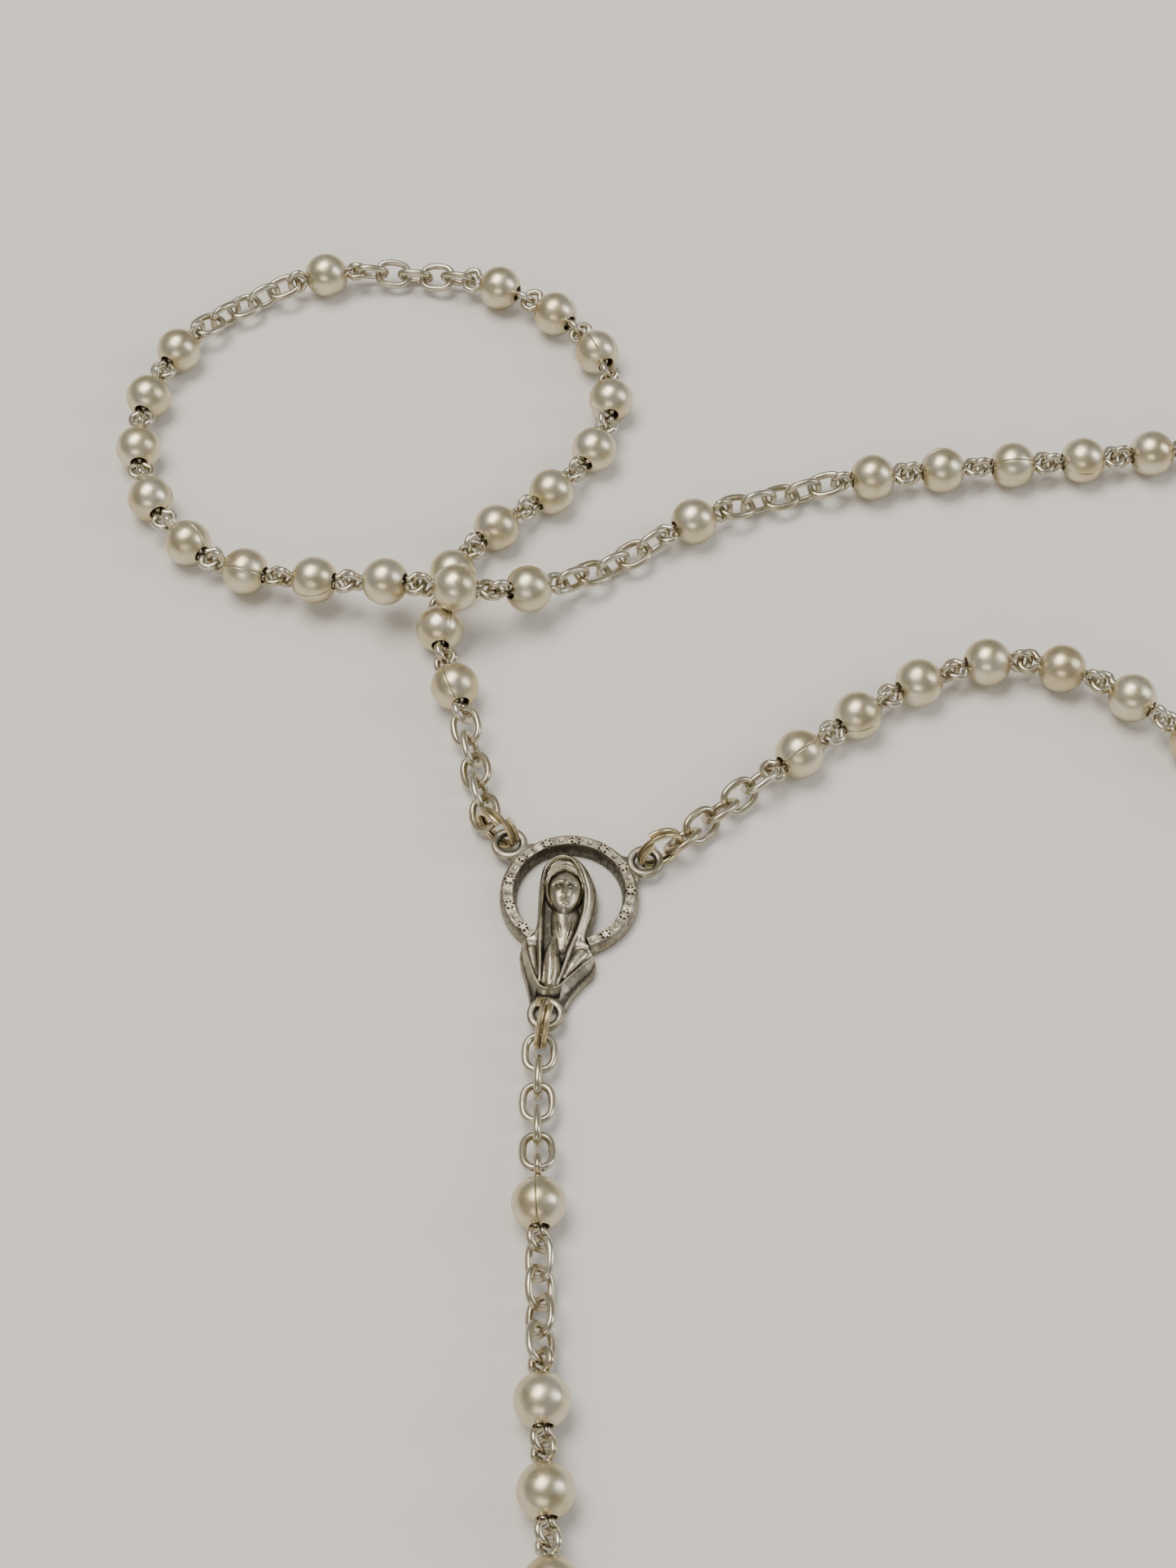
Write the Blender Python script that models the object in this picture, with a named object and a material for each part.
# A rosary laid flat, with its centre medal at the origin. +Z is up, and the surface it lies on is z = 0.
# The medal's top points almost along +Y, its pendant runs along -Y and the loop lies on the +Y side.

import math

import bmesh
import bpy
from mathutils import Matrix, Vector

MM = 0.001
UP = Vector((0, 0, 1))

# Cable chain: soldered oval links.
WIRE = 0.9 * MM
LINK_PITCH = 3.15 * MM
LINK_WIDTH = 4.2 * MM
LINK_PLAY = 0.24 * MM  # between two hooked wires
CHAIN_DROP = 0.5 * MM  # how far each link falls on its way down from a bead
FLOOR_GAP = 0.02 * MM

# Hollow rolled beads. Each one hides a link and takes in the pinched ends of two more.
BEAD_DIAMETER = 6.0 * MM
BEAD_WALL = 0.3 * MM
NECK_GAP = 0.1 * MM  # between a pinched end's two wires and the wire that is hooked between them
NECK_PLAY = 0.1 * MM  # between a pinched end and the edge of the bead's hole
LINKS_PER_BEAD = 3

# Split rings: two turns of wire, side by side.
RING_DIAMETER = 6.0 * MM
RING_WIRE = 0.7 * MM
RING_TURNS = 2
TURN_GAP = 0.03 * MM
RING_PLAY = 0.4 * MM
RING_ENDS = math.radians(115)  # where the turns start and end, seen from the ring's side

# Eyelets of the medal and the crucifix, lifted so that a split ring's wire passes under them.
EYELET_HOLE = 2.4 * MM
EYELET_RIM = 1.0 * MM
EYELET_THICKNESS = 0.9 * MM
EYELET_PLAY = 0.45 * MM
EYELET_SLACK = 0.25 * MM  # from the middle of the hole to the ring's wire in it

# Centre medal.
HALO_DIAMETER = 16.5 * MM
HALO_BAND = 2.0 * MM
HALO_THICKNESS = 2.0 * MM
MEDAL_LEAN = math.radians(9)
SHOULDER_ANGLE = math.radians(55)  # from the medal's axis to each upper eyelet
EYELET_SINK = 0.45 * MM  # how far an eyelet's rim runs into the halo
FIGURE_PLATE = 1.5 * MM
FIGURE_DROP = 16.6 * MM  # from the halo's centre to the lower eyelet
VEIL_TOP = 4.9 * MM
VEIL_WIDTH = 6.9 * MM
SLEEVE_WIDTH = 9.0 * MM
SLEEVE_TOP, SLEEVE_END, SHOULDERS = 0.42, 0.52, 0.3  # how far down the figure, as shares of its drop
CUFF_WIDTH = 4.0 * MM
HEAD_HALF = (2.93 * MM, 4.17 * MM, 1.35 * MM)
HEAD_RISE = 0.49 * MM  # above the halo's centre
HANDS_HALF = (1.0 * MM, 3.2 * MM, 1.05 * MM)
HANDS_DROP = 9.13 * MM

# Crucifix.
CROSS_LENGTH = 36.0 * MM
CROSS_SPAN = 21.0 * MM
CROSS_BAR = 4.0 * MM
CROSS_FLARE = 0.9 * MM  # how far each tip widens on a side
CROSS_THICKNESS = 1.8 * MM
CROSS_ARM_DROP = 11.5 * MM  # from the top of the cross to the middle of its arms
CORPUS_GAP = 0.3 * MM
TITLE_PLATE = (4.8 * MM, 2.0 * MM, 0.5 * MM)
# Each part of the corpus: its middle, from the middle of the arms, and half its size in plan and in height.
TORSO = (0, -5.0 * MM), (1.7 * MM, 5.2 * MM, 1.3 * MM)
HEAD = (0, 1.4 * MM), (1.2 * MM, 1.5 * MM, 1.3 * MM)
LEGS = (0, -13.0 * MM), (1.2 * MM, 5.6 * MM, 1.04 * MM)
ARM = (4.6 * MM, 0.4 * MM), (4.6 * MM, 0.75 * MM, 0.78 * MM)
ARM_RISE = math.radians(12)

# What hangs on the chain, in order. Each number is a count of open links between beads.
DECADES = 5
DECADE_BEADS = 10
LOOP_OPEN_LINKS = 5
PENDANT_PLAN = (5, "our_father", 4, "hail_mary", "hail_mary", "hail_mary", 3, "our_father", 2)
OPEN_AFTER_DECADE = 3  # the loop's tree of bodies is open at the end of this decade

# A run of the loop's beads and links is one rod, as thick as the chain's links where there is no bead.
ROD_THICKNESS = 1.6 * MM
ROD_TIP = 0.7 * MM
ROD_SET_BACK = 0.09  # how much of a link is left out at each end

LIFT_STEP = 0.02  # by how much the chain's lift grows until its beads clear where it passes over itself

# The loop's route in plan, chosen by hand: x, y and how far the chain is lifted where it passes over itself.
LOOP_ROUTE = [
    (-11.3, 16.5, 0),
    (-13.9, 28.0, 0),
    (-16.4, 37.0, 0),
    (-15.7, 46.4, 0),
    (-10.6, 54.4, 0),
    (-2.5, 61.5, 0),
    (4.0, 71.0, 0),
    (4.8, 83.5, 0),
    (-3.0, 95.0, 0),
    (-17.5, 102.0, 0),
    (-35.0, 102.0, 0),
    (-50.0, 93.0, 0),
    (-57.5, 77.0, 0),
    (-55.0, 60.0, 0),
    (-45.5, 49.5, 0),
    (-32.0, 45.2, 1.45),
    (-22.3, 43.2, 3.6),
    (-12.9, 40.8, 5.1),
    (-3.6, 44.0, 1.45),
    (6.0, 50.0, 0),
    (17.5, 57.2, 0),
    (30.0, 62.0, 0),
    (47.0, 65.0, 0),
    (68.0, 67.0, 0),
    (96.0, 71.0, 0),
    (126.0, 73.0, 0),
    (154.0, 68.0, 0),
    (175.0, 54.5, 0),
    (183.0, 35.0, 0),
    (176.0, 15.0, 0),
    (158.0, 1.5, 0),
    (134.0, -4.5, 0),
    (108.0, -2.0, 0),
    (88.5, 8.0, 0),
    (76.0, 21.0, 0),
    (66.0, 30.0, 0),
    (54.5, 33.5, 0),
    (43.3, 30.0, 0),
    (28.6, 19.6, 0),
    (20.0, 13.0, 0),
]
PENDANT_ROUTE = [
    (-3.4, -26.0),
    (-3.0, -44.0),
    (-2.6, -60.0),
    (-1.8, -76.0),
    (-0.4, -92.0),
    (1.5, -106.0),
    (4.0, -120.0),
]

# Worked out from the sizes above.
BEAD_RADIUS = BEAD_DIAMETER / 2
LINK_REST = LINK_WIDTH / 2 + FLOOR_GAP
HOOK = (WIRE + LINK_PLAY) / 2  # from a pivot to the middle of each wire hooked there
LINK_REACH = LINK_PITCH / 2 + HOOK
NECK_WIDTH = 3 * WIRE + NECK_GAP
BEAD_HOLE = NECK_WIDTH + 2 * NECK_PLAY
RING_RADIUS = (RING_DIAMETER - RING_WIRE) / 2
RING_HEIGHT = RING_DIAMETER / 2
EYELET_LIFT = RING_WIRE + EYELET_PLAY
EYELET_MIDDLE = EYELET_LIFT + EYELET_THICKNESS / 2
EYELET_RADIUS = EYELET_HOLE / 2 + EYELET_RIM


def clear_scene():
    for old in list(bpy.data.objects):
        bpy.data.objects.remove(old)


def metal(name, colour, roughness):
    material = bpy.data.materials.new(name)
    material.use_nodes = True
    shader = material.node_tree.nodes["Principled BSDF"]
    shader.inputs["Base Color"].default_value = (*colour, 1)
    shader.inputs["Metallic"].default_value = 1
    shader.inputs["Roughness"].default_value = roughness
    return material


class Finishes:
    def __init__(self):
        self.bead = metal("champagne_silver", (0.60, 0.56, 0.45), 0.32)
        self.chain = metal("bright_silver", (0.72, 0.68, 0.58), 0.25)
        self.ring = metal("pale_brass", (0.60, 0.47, 0.28), 0.30)
        self.cast = metal("antique_silver", (0.38, 0.35, 0.31), 0.42)


# Placing


def frame_at(place, along, across):
    """A matrix whose X runs along, and whose Y is nearest to across."""
    x = along.normalized()
    z = x.cross(across).normalized()
    y = z.cross(x)
    return Matrix.Translation(place) @ Matrix((x, y, z)).transposed().to_4x4()


def level_side(along):
    """The level direction to the left of along."""
    return UP.cross(along).normalized()


class Body:
    """A group of pieces that moves as one, held by an empty on its joint's axis."""

    def __init__(self, name, parent=None, pivot=Vector(), axis=UP):
        self.empty = bpy.data.objects.new(name + "_pivot", None)
        self.empty.empty_display_size = BEAD_RADIUS
        bpy.context.scene.collection.objects.link(self.empty)
        self.place = frame_at(pivot, axis, UP if abs(axis.z) < 0.9 else Vector((0, 1, 0)))
        hang(self.empty, parent, self.place)
        turn = [round(v, 6) for v in axis.normalized()]
        print(name, "turns about", [round(v, 7) for v in pivot], "axis", turn)

    def add(self, name, data, finish, place=None):
        piece = bpy.data.objects.new(name, data)
        bpy.context.scene.collection.objects.link(piece)
        if not data.materials:
            data.materials.append(finish)
        hang(piece, self, place or Matrix())
        return piece


def hang(item, body, place):
    item.matrix_basis = place
    if body:
        item.parent = body.empty
        item.matrix_parent_inverse = body.place.inverted()


# Shapes


def wire_shape(name, points, thickness, closed, resolution, radii=None):
    """A round wire or rod along the points. Radii are shares of half the thickness."""
    curve = bpy.data.curves.new(name, "CURVE")
    curve.dimensions = "3D"
    curve.bevel_depth = thickness / 2
    curve.bevel_resolution = resolution
    curve.use_fill_caps = not closed
    spline = curve.splines.new("POLY")
    spline.use_cyclic_u = closed
    spline.use_smooth = True
    spline.points.add(len(points) - 1)
    for i, point in enumerate(points):
        spline.points[i].co = (*point, 1)
        spline.points[i].radius = radii[i] if radii else 1
    return curve


def link_outline(start_width, end_width, neck=None):
    """The middle of a link's wire, hooked at both ends. Each end is half a circle."""
    points = []
    for side, width in ((1, end_width), (-1, start_width)):
        radius = (width - WIRE) / 2
        centre = side * (LINK_REACH - radius)
        for i in range(5):
            turn = math.radians(-90 + 45 * i)
            points.append(Vector((centre + side * radius * math.cos(turn), side * radius * math.sin(turn), 0)))
        if neck is not None:
            points.append(Vector((neck, side * (start_width - WIRE) / 2, 0)))
    if neck is not None:
        # The neck's lower point comes before the first end and its upper point after it.
        points.insert(0, points.pop())
    return points


def coil_shape(name):
    """A split ring standing on edge: X runs along the chain and Y along the coil's own axis."""
    steps = 14 * RING_TURNS
    pitch = RING_WIRE + TURN_GAP
    points = []
    for i in range(steps + 1):
        turned = RING_TURNS * i / steps
        turn = RING_ENDS + math.tau * turned
        side = pitch * (turned - RING_TURNS / 2)
        points.append(Vector((RING_RADIUS * math.cos(turn), side, RING_RADIUS * math.sin(turn))))
    return wire_shape(name, points, RING_WIRE, False, 1)


def mesh_from(name, build):
    mesh = bpy.data.meshes.new(name)
    shape = bmesh.new()
    build(shape)
    bmesh.ops.recalc_face_normals(shape, faces=shape.faces)
    shape.to_mesh(mesh)
    shape.free()
    mesh.shade_smooth()
    mesh.set_sharp_from_angle(angle=math.radians(40))
    return mesh


def turned_shape(name, profile, steps, axis):
    """A closed profile of points turned all the way round an axis through the origin."""

    def build(shape):
        corners = [shape.verts.new(point) for point in profile]
        edges = [shape.edges.new((corner, corners[i - 1])) for i, corner in enumerate(corners)]
        bmesh.ops.spin(
            shape, geom=corners + edges, cent=(0, 0, 0), axis=axis, angle=math.tau, steps=steps, use_merge=True
        )

    return mesh_from(name, build)


def plate_shape(name, outline, low, high):
    """An outline in XY, as a plate from low to high."""

    def build(shape):
        face = shape.faces.new([shape.verts.new((x, y, low)) for x, y in outline])
        made = bmesh.ops.extrude_face_region(shape, geom=[face])["geom"]
        corners = [item for item in made if isinstance(item, bmesh.types.BMVert)]
        bmesh.ops.translate(shape, verts=corners, vec=(0, 0, high - low))

    return mesh_from(name, build)


def dome_shape(name, centre, radii, turn=0):
    """An ellipsoid, turned about Z."""

    def build(shape):
        bmesh.ops.create_uvsphere(shape, u_segments=12, v_segments=8, radius=1)
        place = Matrix.Translation(centre) @ Matrix.Rotation(turn, 4, "Z") @ Matrix.Diagonal((*radii, 1))
        bmesh.ops.transform(shape, matrix=place, verts=shape.verts)

    return mesh_from(name, build)


def rim_shape(name, centre):
    """An eyelet's rim, with its hole upright."""
    inner, outer = EYELET_HOLE / 2, EYELET_RADIUS
    low, high = EYELET_LIFT, EYELET_LIFT + EYELET_THICKNESS
    profile = [(inner, 0, low), (outer, 0, low), (outer, 0, high), (inner, 0, high)]
    mesh = turned_shape(name, profile, 20, UP)
    mesh.transform(Matrix.Translation(centre))
    return mesh


def join(piece, meshes, place):
    """Adds the meshes to the piece with union Booleans. Each one is a hidden helper."""
    for mesh in meshes:
        helper = bpy.data.objects.new(mesh.name, mesh)
        bpy.context.scene.collection.objects.link(helper)
        helper.hide_render = True
        helper.display_type = "WIRE"
        hang(helper, None, place)
        union = piece.modifiers.new(mesh.name, "BOOLEAN")
        union.operation = "UNION"
        union.object = helper


# Routes


class Route:
    """A smooth curve through points, read by the length along it in plan."""

    def __init__(self, points, step=0.25 * MM):
        gaps = [(b - a).length for a, b in zip(points, points[1:])]
        slopes = [(b - a) / gap for a, b, gap in zip(points, points[1:], gaps)]
        bends = [slopes[0]]
        for i in range(1, len(points) - 1):
            bends.append((slopes[i - 1] * gaps[i] + slopes[i] * gaps[i - 1]) / (gaps[i] + gaps[i - 1]))
        bends.append(slopes[-1])
        self.samples = [points[0]]
        for i, gap in enumerate(gaps):
            count = max(2, math.ceil(gap / step))
            for j in range(1, count + 1):
                leave, arrive = bends[i] * gap, bends[i + 1] * gap
                self.samples.append(hermite(points[i], points[i + 1], leave, arrive, j / count))
        self.lengths = [0]
        for a, b in zip(self.samples, self.samples[1:]):
            self.lengths.append(self.lengths[-1] + (b.xy - a.xy).length)

    def at(self, length):
        last = len(self.lengths) - 2
        low = 0
        high = last
        while low < high:
            middle = (low + high + 1) // 2
            if self.lengths[middle] <= length:
                low = middle
            else:
                high = middle - 1
        share = (length - self.lengths[low]) / (self.lengths[low + 1] - self.lengths[low])
        return self.samples[low].lerp(self.samples[low + 1], share)


def hermite(a, b, leave, arrive, t):
    start = 2 * t**3 - 3 * t**2 + 1
    return start * a + (t**3 - 2 * t**2 + t) * leave + (1 - start) * b + (t**3 - t**2) * arrive


def fitted_route(start, middle, end, length):
    """The route from start to end whose plan is spread out from the line between them until it is that long."""

    def spread(factor):
        points = [start]
        for i, point in enumerate(middle):
            base = start.lerp(end, (i + 1) / (len(middle) + 1))
            points.append(Vector((*(base.xy + factor * (point.xy - base.xy)), point.z)))
        return Route(points + [end])

    low, high = 0.3, 3
    for _ in range(40):
        factor = (low + high) / 2
        if spread(factor).lengths[-1] < length:
            low = factor
        else:
            high = factor
    print("the loop's plan is spread by", round(factor, 4))
    return spread(factor)


# Chain


def pivot_heights(plan):
    """The height of each pivot along a chain. A number in the plan counts open links, and a name is a bead."""
    beside_bead = []
    for item in plan:
        if isinstance(item, int):
            beside_bead += [False] * item
        else:
            beside_bead += [True] * LINKS_PER_BEAD
    pivots = range(len(beside_bead) + 1)
    near = [i for i in pivots if any(beside_bead[max(i - 1, 0) : i + 1])]
    fallen = [BEAD_RADIUS - CHAIN_DROP * min(abs(i - j) for j in near) for i in pivots]
    return [max(LINK_REST, height) for height in fallen]


class Chain:
    """A chain laid along a route. Its pivots are one link apart, and its first link is hooked at place 0."""

    def __init__(self, route, plan):
        self.route = route
        self.heights = pivot_heights(plan)

    def at(self, links):
        """The middle of the chain, this many links along it."""
        point = self.route.at(links * LINK_PITCH)
        low = min(int(links), len(self.heights) - 2)
        share = links - low
        height = (1 - share) * self.heights[low] + share * self.heights[low + 1]
        return Vector((point.x, point.y, point.z + height))

    def link_place(self, links, flat):
        """The matrix of the link between this pivot and the next. Its Y is the link's width."""
        start, end = self.at(links), self.at(links + 1)
        along = end - start
        side = level_side(along)
        return frame_at((start + end) / 2, along, side if flat else side.cross(along))


def reach_at(radius, height):
    """How far a circle round a ring's middle reaches sideways at this height."""
    return math.sqrt(radius**2 - (RING_HEIGHT - height) ** 2)


def eyelet_reach():
    """From the middle of a ring to the middle of the eyelet that it hangs in."""
    return reach_at(RING_RADIUS, EYELET_MIDDLE) - EYELET_SLACK


def hook_reach():
    """From the middle of a ring to the pivot of the link that is hooked on it."""
    return reach_at(RING_RADIUS - (RING_WIRE + WIRE) / 2 - RING_PLAY, LINK_REST) + HOOK


def raised(place, height):
    return Vector((place.x, place.y, height))


# Centre medal


def figure_outline():
    """The veil with a round top, the sleeves, and the cuffs that meet the lower eyelet."""
    veil, sleeve, cuff = VEIL_WIDTH / 2, SLEEVE_WIDTH / 2, CUFF_WIDTH / 2
    foot = -FIGURE_DROP + EYELET_HOLE / 2 + EYELET_RIM / 4
    right = [
        (cuff, foot),
        (cuff, foot + EYELET_RIM),
        (sleeve, -SLEEVE_END * FIGURE_DROP),
        (sleeve, -SLEEVE_TOP * FIGURE_DROP),
        (veil, -SHOULDERS * FIGURE_DROP),
    ]
    top = []
    for i in range(9):
        turn = math.pi * i / 8
        top.append((veil * math.cos(turn), VEIL_TOP - veil + veil * math.sin(turn)))
    return right + top + [(-x, y) for x, y in reversed(right)]


def halo_profile():
    outer, inner = HALO_DIAMETER / 2, HALO_DIAMETER / 2 - HALO_BAND
    slope = HALO_BAND / 4
    return [
        (inner, 0, 0),
        (outer, 0, 0),
        (outer, 0, HALO_THICKNESS - slope),
        (outer - slope, 0, HALO_THICKNESS),
        (inner + slope, 0, HALO_THICKNESS),
        (inner, 0, HALO_THICKNESS - slope),
    ]


def eyelet_centres():
    """The left, right and lower eyelets, with the direction that each one's ring leaves in."""
    out = HALO_DIAMETER / 2 + EYELET_RADIUS - EYELET_SINK
    found = {}
    for name, turn, reach in (
        ("left", SHOULDER_ANGLE, out),
        ("right", -SHOULDER_ANGLE, out),
        ("pendant", math.pi, FIGURE_DROP),
    ):
        way = Vector((-math.sin(turn - MEDAL_LEAN), math.cos(turn - MEDAL_LEAN), 0))
        found[name] = (reach * way, way)
    return found


def add_medal(body, finish):
    place = Matrix.Rotation(-MEDAL_LEAN, 4, "Z")
    plate = plate_shape("figure", figure_outline(), 0, FIGURE_PLATE)
    piece = body.add("centre_medal", plate, finish, place)
    relief = [
        turned_shape("halo", halo_profile(), 40, UP),
        dome_shape("head", (0, HEAD_RISE, FIGURE_PLATE), HEAD_HALF),
        dome_shape("hands", (0, -HANDS_DROP, FIGURE_PLATE), HANDS_HALF),
    ]
    join(piece, relief, place)
    rims = [rim_shape(name + "_eyelet", centre) for name, (centre, _) in eyelet_centres().items()]
    join(piece, rims, Matrix())
    return piece


# Crucifix


def cross_outline():
    """A Latin cross below its eyelet, whose tips widen a little."""
    bar, flare = CROSS_BAR / 2, CROSS_FLARE
    top = -EYELET_HOLE / 2 - EYELET_RIM / 4
    arms, foot = top - CROSS_ARM_DROP, top - CROSS_LENGTH
    span = CROSS_SPAN / 2
    right = [
        (bar + flare, top),
        (bar, top - 2 * flare),
        (bar, arms + bar),
        (span - 2 * flare, arms + bar),
        (span, arms + bar + flare),
        (span, arms - bar - flare),
        (span - 2 * flare, arms - bar),
        (bar, arms - bar),
        (bar, foot + 2 * flare),
        (bar + flare, foot),
    ]
    return right + [(-x, y) for x, y in reversed(right)], arms


def body_part(name, part, arms, level, side=0):
    """A part of the corpus. An arm has a side, and rises towards its hand."""
    (x, y), half = part
    return dome_shape(name, (side * x, arms + y, level), half, side * ARM_RISE)


def add_crucifix(body, place, finish):
    outline, arms = cross_outline()
    cross = body.add("cross", plate_shape("cross", outline, 0, CROSS_THICKNESS), finish, place)
    width, height, rise = TITLE_PLATE
    low, middle = arms + CROSS_BAR, CROSS_THICKNESS - rise
    corners = [(-width / 2, low), (width / 2, low), (width / 2, low + height), (-width / 2, low + height)]
    rim = rim_shape("cross_eyelet", Vector())
    join(cross, [rim, plate_shape("title_plate", corners, middle, CROSS_THICKNESS + rise)], place)

    level = CROSS_THICKNESS + CORPUS_GAP + TORSO[1][2]
    corpus = body.add("corpus", body_part("torso", TORSO, arms, level), finish, place)
    limbs = [body_part("head_of_corpus", HEAD, arms, level), body_part("legs", LEGS, arms, level)]
    for side, name in ((1, "left_arm"), (-1, "right_arm")):
        limbs.append(body_part(name, ARM, arms, level, side))
    join(corpus, limbs, place)


# Pendant


def bead_profile():
    """The wall of a hollow bead round X, from one pole's hole to the other and back inside."""
    points = []
    for radius, steps, way in ((BEAD_RADIUS, 6, 1), (BEAD_RADIUS - BEAD_WALL, 4, -1)):
        hole = math.asin(BEAD_HOLE / 2 / radius)
        for i in range(steps + 1):
            turn = hole + (math.pi - 2 * hole) * (i if way > 0 else steps - i) / steps
            points.append((radius * math.cos(turn), radius * math.sin(turn), 0))
    return points


class PendantShapes:
    """The meshes that copies share."""

    def __init__(self):
        hole_face = math.sqrt(BEAD_RADIUS**2 - (BEAD_HOLE / 2) ** 2)
        neck = hole_face + LINK_PLAY - (LINKS_PER_BEAD - 1) * LINK_PITCH / 2
        self.link = wire_shape("open_link", link_outline(LINK_WIDTH, LINK_WIDTH), WIRE, True, 1)
        self.pinched = wire_shape("bead_link", link_outline(NECK_WIDTH, LINK_WIDTH, neck), WIRE, True, 1)
        self.core = wire_shape("core_link", link_outline(NECK_WIDTH, NECK_WIDTH), WIRE, True, 1)
        self.bead = turned_shape("hollow_bead", bead_profile(), 12, Vector((1, 0, 0)))


def add_pendant(medal_body, finishes):
    hole, outward = eyelet_centres()["pendant"]
    body, ring = add_ring("ring_pendant", medal_body, hole, outward, finishes.ring)
    start = raised(ring, 0) + hook_reach() * outward
    middle = [Vector((x * MM, y * MM, 0)) for x, y in PENDANT_ROUTE]
    chain = Chain(Route([start] + middle), PENDANT_PLAN)

    shapes = PendantShapes()
    pivot, axis = raised(ring, LINK_REST) + reach_at(RING_RADIUS, LINK_REST) * outward, UP
    links, flat = 0, True
    counts, ways = {}, {True: 1, False: -1}
    pieces = [["link"] * step if isinstance(step, int) else [step] for step in PENDANT_PLAN]
    for item in [item for group in pieces for item in group]:
        counts[item] = counts.get(item, 0) + 1
        # Each joint turns the other way from the last one like it, so that a chain bent all one way zigzags.
        ways[flat] = -ways[flat]
        name = f"chain_link_{counts[item]:02d}" if item == "link" else f"{item}_bead_{counts[item]}"
        body = Body(name, body, pivot, ways[flat] * axis)
        if item == "link":
            body.add(name, shapes.link, finishes.chain, chain.link_place(links, flat))
            links += 1
        else:
            add_bead_unit(body, name, chain, links, flat, shapes, finishes)
            links += LINKS_PER_BEAD
        last = chain.link_place(links - 1, flat)
        axis = last.col[1].xyz
        pivot = chain.at(links) + HOOK * last.col[0].xyz
        flat = not flat
    add_pendant_end(body, chain.at(links), last.col[0].xyz, pivot, finishes)


def add_pendant_end(body, end, along, pivot, finishes):
    """The crucifix on its split ring, which hangs in the last link."""
    way = raised(along, 0).normalized()
    ring = raised(end, RING_HEIGHT) + hook_reach() * way
    ring_body = Body("ring_crucifix", body, pivot, level_side(way))
    place = frame_at(ring, -way, -level_side(way))
    ring_body.add("ring_crucifix", coil_shape("coil_crucifix"), finishes.ring, place)
    wire = raised(ring, EYELET_MIDDLE) + reach_at(RING_RADIUS, EYELET_MIDDLE) * way
    hole = raised(ring, 0) + eyelet_reach() * way
    crucifix = Body("crucifix", ring_body, wire, UP)
    add_crucifix(crucifix, frame_at(hole, level_side(way), -way), finishes.cast)


def add_bead_unit(body, name, chain, links, flat, shapes, finishes):
    """A bead with the link it hides and the two links pinched into its poles."""
    first = chain.link_place(links, flat)
    middle = chain.link_place(links + 1, not flat)
    last = chain.link_place(links + 2, flat)
    turned = Matrix.Rotation(math.pi, 4, "Z")
    body.add(name, shapes.bead, finishes.bead, middle)
    body.add(name + "_core_link", shapes.core, finishes.chain, middle)
    body.add(name + "_upper_link", shapes.pinched, finishes.chain, first @ turned)
    body.add(name + "_lower_link", shapes.pinched, finishes.chain, last)


def add_ring(name, parent, hole, outward, finish):
    """A split ring in an eyelet. It swings about the eyelet's rim."""
    pivot = raised(hole, EYELET_MIDDLE) + (EYELET_HOLE + EYELET_RIM) / 2 * outward
    body = Body(name, parent, pivot, -level_side(outward))
    ring = raised(hole, RING_HEIGHT) + eyelet_reach() * outward
    body.add(name, coil_shape("coil_" + name), finish, frame_at(ring, outward, level_side(outward)))
    return body, ring


# Loop


def loop_plan():
    plan = []
    for decade in range(1, DECADES + 1):
        plan += [LOOP_OPEN_LINKS] + ["hail_mary"] * DECADE_BEADS
        if decade < DECADES:
            plan += [LOOP_OPEN_LINKS, "our_father"]
    return plan + [LOOP_OPEN_LINKS]


def beads_clear(chain, plan):
    """Whether no two of the chain's beads overlap, such as where it passes over itself."""
    centres = []
    links = 0
    for item in plan:
        if isinstance(item, int):
            links += item
        else:
            centres.append(chain.at(links + LINKS_PER_BEAD / 2))
            links += LINKS_PER_BEAD
    gaps = [(a - b).length for i, a in enumerate(centres) for b in centres[:i]]
    return min(gaps) > BEAD_DIAMETER


def strand_shape(name, chain, first, last, beads):
    """The beads and links from first to last, drawn as one rod that is as thick as what it stands for."""
    chain_radius, tip_radius = ROD_THICKNESS / 2, ROD_TIP / 2
    tip = ROD_SET_BACK
    pole = math.sqrt(BEAD_RADIUS**2 - chain_radius**2) / LINK_PITCH
    flank = math.sin(math.pi / 4)
    stops = [(first + tip, tip_radius), (first + 3 * tip, chain_radius)]
    for i in range(beads):
        centre = first + (i + 0.5) * LINKS_PER_BEAD
        for share, radius in ((-1, None), (-flank, flank), (0, 1), (flank, flank), (1, None)):
            reach = share * (pole if radius is None else BEAD_RADIUS / LINK_PITCH)
            stops.append((centre + reach, chain_radius if radius is None else radius * BEAD_RADIUS))
    if not beads:
        stops += [(first + 1 + i, chain_radius) for i in range(int(last - first) - 1)]
    stops += [(last - 3 * tip, chain_radius), (last - tip, tip_radius)]
    points = [chain.at(links) for links, _ in stops]
    radii = [radius / BEAD_RADIUS for _, radius in stops]
    return wire_shape(name, points, BEAD_DIAMETER, False, 2, radii)


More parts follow.
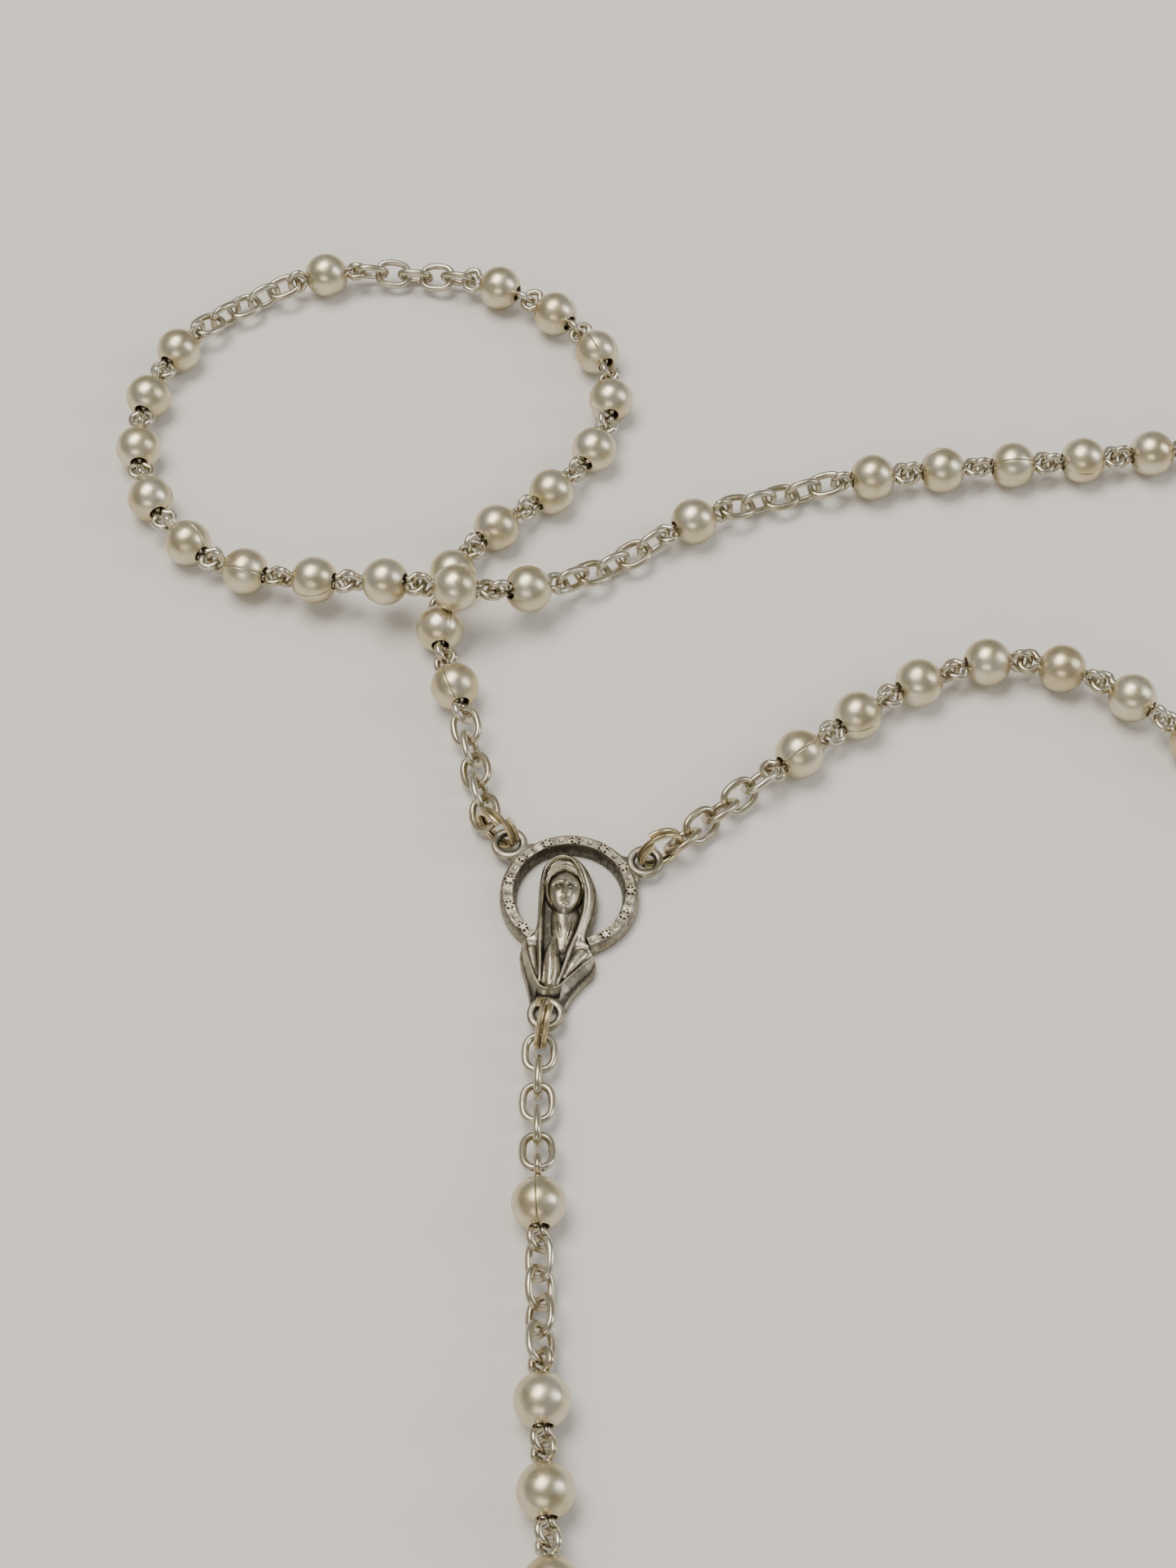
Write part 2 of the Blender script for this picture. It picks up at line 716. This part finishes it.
def add_loop(medal_body, finishes):
    eyelets = eyelet_centres()
    rings, starts = {}, {}
    for side in ("left", "right"):
        hole, outward = eyelets[side]
        rings[side], ring = add_ring("ring_" + side, medal_body, hole, outward, finishes.ring)
        starts[side] = raised(ring, 0) + hook_reach() * outward
    plan = loop_plan()
    length = LINK_PITCH * sum(item if isinstance(item, int) else LINKS_PER_BEAD for item in plan)
    total = length / LINK_PITCH
    lift = 1
    while True:
        middle = [Vector((x, y, lift * z)) * MM for x, y, z in LOOP_ROUTE]
        chain = Chain(fitted_route(starts["left"], middle, starts["right"], length), plan)
        if beads_clear(chain, plan):
            break
        lift += LIFT_STEP
    print("the loop is lifted by", round(lift, 2))

    spans = []
    links = 0
    for decade in range(1, DECADES + 1):
        for kind, beads in (("open", 0), ("decade", DECADE_BEADS), ("open", 0), ("our_father", 1)):
            if decade == DECADES and kind == "our_father":
                continue
            step = beads * LINKS_PER_BEAD or LOOP_OPEN_LINKS
            spans.append((kind, links, beads, decade))
            links += step

    bodies = loop_bodies(chain, rings, total)
    ring_side = (reach_at(RING_DIAMETER / 2, LINK_REST) + LINK_PLAY - hook_reach()) / LINK_PITCH
    chains, fathers = 0, PENDANT_PLAN.count("our_father")
    for kind, first, beads, decade in spans:
        if kind == "open":
            chains += 1
            name = f"loop_chain_{chains:02d}"
        elif kind == "decade":
            name = f"decade_{decade}"
        else:
            fathers += 1
            name = f"our_father_bead_{fathers}"
        owner = next(body for low, high, body in bodies if low <= first < high)
        start = max(first, ring_side)
        end = min(first + (beads * LINKS_PER_BEAD or LOOP_OPEN_LINKS), total - ring_side)
        data = strand_shape(name, chain, start, end, beads)
        owner.add(name, data, finishes.bead if beads else finishes.chain)


def loop_bodies(chain, rings, total):
    """The loop's bodies, each with the stretch of chain that it holds, in links from the left ring."""
    stride = DECADE_BEADS * LINKS_PER_BEAD + 2 * LOOP_OPEN_LINKS + LINKS_PER_BEAD
    ends = [LOOP_OPEN_LINKS + DECADE_BEADS * LINKS_PER_BEAD + stride * i for i in range(DECADES)]
    found = []
    parent, low = rings["left"], 0
    for i in range(OPEN_AFTER_DECADE):
        pivot, along = chain.at(low), chain.at(low + 0.5) - chain.at(low)
        if low == 0:
            pivot = pivot - HOOK * along.normalized()
        parent = Body(f"arm_{i + 1}", parent, pivot, -level_side(along))
        found.append((low, ends[i], parent))
        low = ends[i]
    parent, high = rings["right"], total
    for i in range(DECADES, OPEN_AFTER_DECADE, -1):
        pivot, along = chain.at(high), chain.at(high - 0.5) - chain.at(high)
        if high == total:
            pivot = pivot - HOOK * along.normalized()
        parent = Body(f"arm_{i}", parent, pivot, -level_side(along))
        start = low if i == OPEN_AFTER_DECADE + 1 else ends[i - 1] - DECADE_BEADS * LINKS_PER_BEAD
        found.append((start, high, parent))
        high = start
    return found


clear_scene()
finishes = Finishes()
medal_body = Body("medal")
add_medal(medal_body, finishes.cast)
add_pendant(medal_body, finishes)
add_loop(medal_body, finishes)
